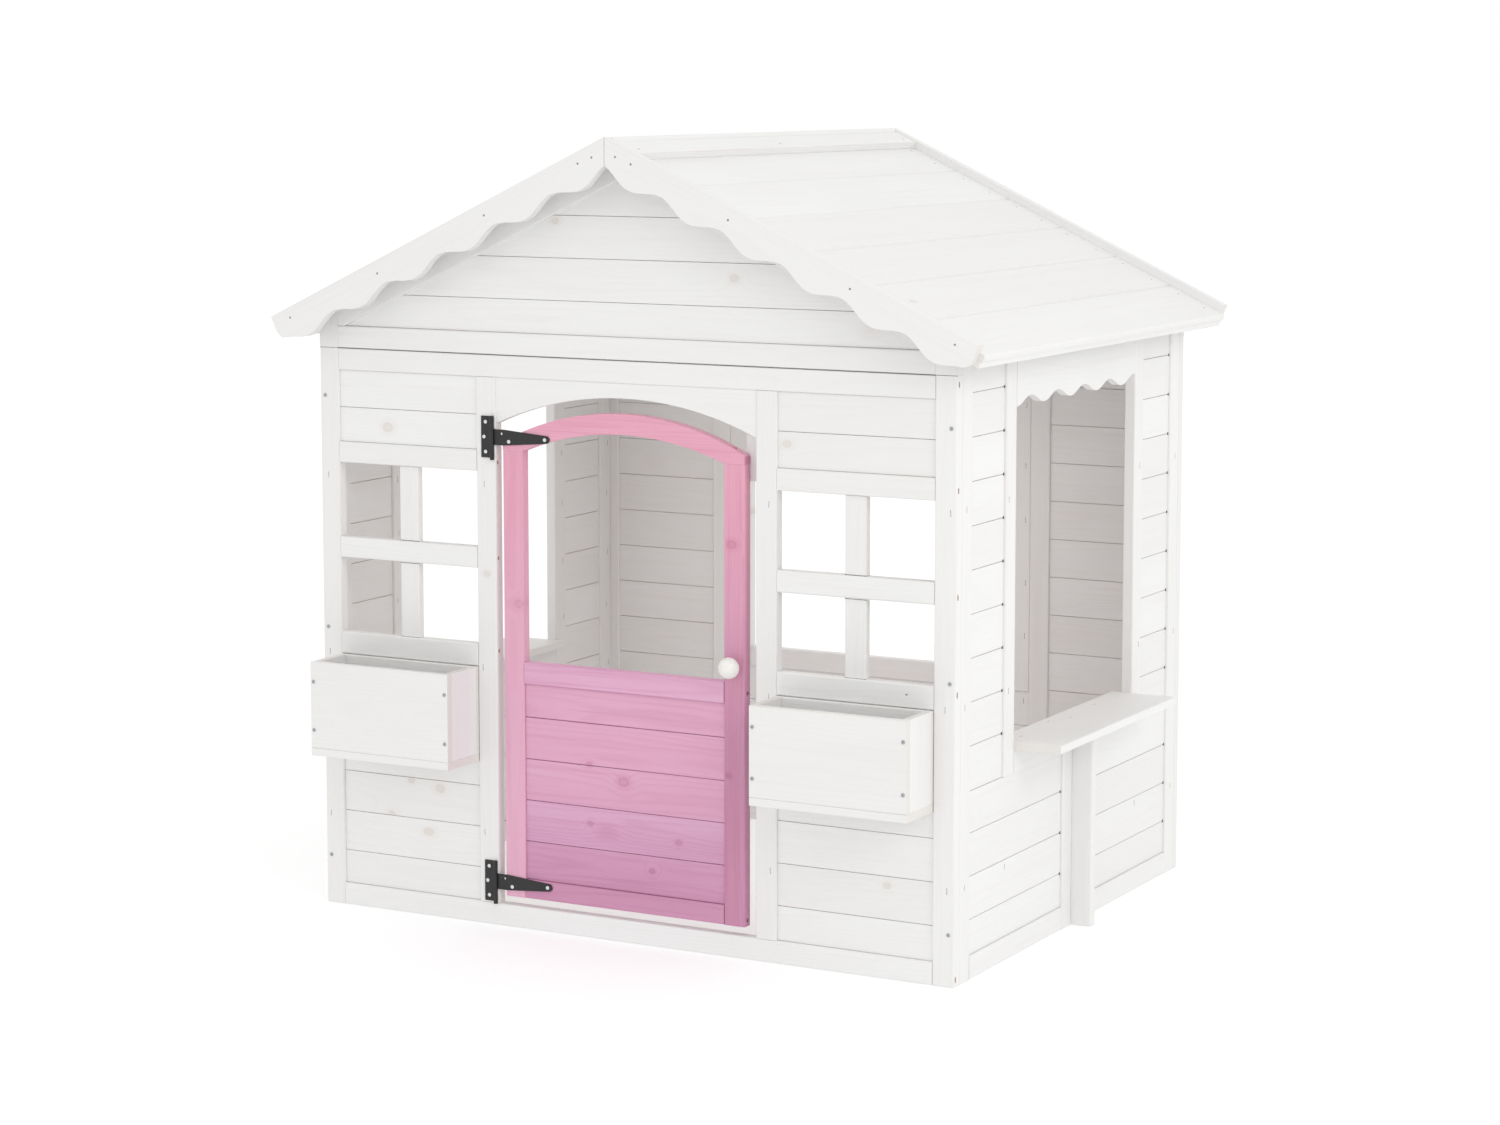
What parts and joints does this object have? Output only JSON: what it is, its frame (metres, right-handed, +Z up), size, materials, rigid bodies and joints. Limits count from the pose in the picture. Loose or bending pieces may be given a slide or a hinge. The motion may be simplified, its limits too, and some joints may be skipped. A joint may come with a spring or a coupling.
{
  "type": "playhouse",
  "caption": "Wooden garden playhouse with a pitched roof, an arched half door on strap hinges, front windows with flower boxes, and side serving windows with counters.",
  "frame": {"origin": "on the ground, at the centre of the whole object's outline seen from above", "axes": "+X to the right when facing the front door, +Y from the front to the back, +Z up"},
  "size_m": [1.364, 1.1008, 1.3287],
  "materials": {
    "white_wood": "thin white wash over planed fir",
    "pink_wood": "pink stain over planed fir",
    "lilac_wood": "lilac-pink stain over planed fir",
    "black_steel": "satin black powder coat",
    "zinc_steel": "zinc plated",
    "white_knob": "satin white"
  },
  "bodies": {
    "house": {"front_posts": "white_wood", "front_rails": "white_wood", "front_jambs": "white_wood", "door_header": "white_wood", "window_rails": "white_wood", "window_muntins": "white_wood", "front_boards": "white_wood", "door_stop": "white_wood", "stop_screws": "zinc_steel", "rear_posts": "white_wood", "rear_frame": "white_wood", "rear_window_frame": "white_wood", "rear_boards": "white_wood", "front_gable_frame": "white_wood", "front_gable_boards": "white_wood", "rear_gable_frame": "white_wood", "rear_gable_boards": "white_wood", "ridge_caps": "white_wood", "planter_fronts": "white_wood", "planter_backs": "white_wood", "planter_ends": "white_wood", "planter_floors": "white_wood", "hinge_plates": "black_steel", "hinge_pins": "black_steel", "plate_screws": "zinc_steel", "wall_screws": "zinc_steel", "planter_screws": "zinc_steel", "right_frame": "white_wood", "right_jambs": "white_wood", "right_boards": "white_wood", "right_middle_post": "white_wood", "right_counter": "white_wood", "right_valance": "white_wood", "right_roof_boards": "white_wood", "right_roof_battens": "white_wood", "front_right_bargeboard": "white_wood", "rear_right_bargeboard": "white_wood", "left_frame": "white_wood", "left_jambs": "white_wood", "left_boards": "white_wood", "left_middle_post": "white_wood", "left_counter": "white_wood", "left_valance": "white_wood", "left_roof_boards": "white_wood", "left_roof_battens": "white_wood", "front_left_bargeboard": "white_wood", "rear_left_bargeboard": "white_wood"},
    "door": {"door_stiles": "pink_wood", "door_arch": "pink_wood", "door_mid_rail": "lilac_wood", "door_bottom_rail": "lilac_wood", "door_boards": "lilac_wood", "door_frame_screws": "zinc_steel", "door_knob": "white_knob", "knob_screw": "zinc_steel", "hinge_straps": "black_steel", "strap_screws": "zinc_steel"}
  },
  "joints": [
    {"name": "door_hinge", "type": "hinge", "parent": "house", "child": "door", "pos_m": [-0.251, -0.45865, 0.4522], "axis": [0, 0, -1], "range_deg": [0, 110]}
  ]
}
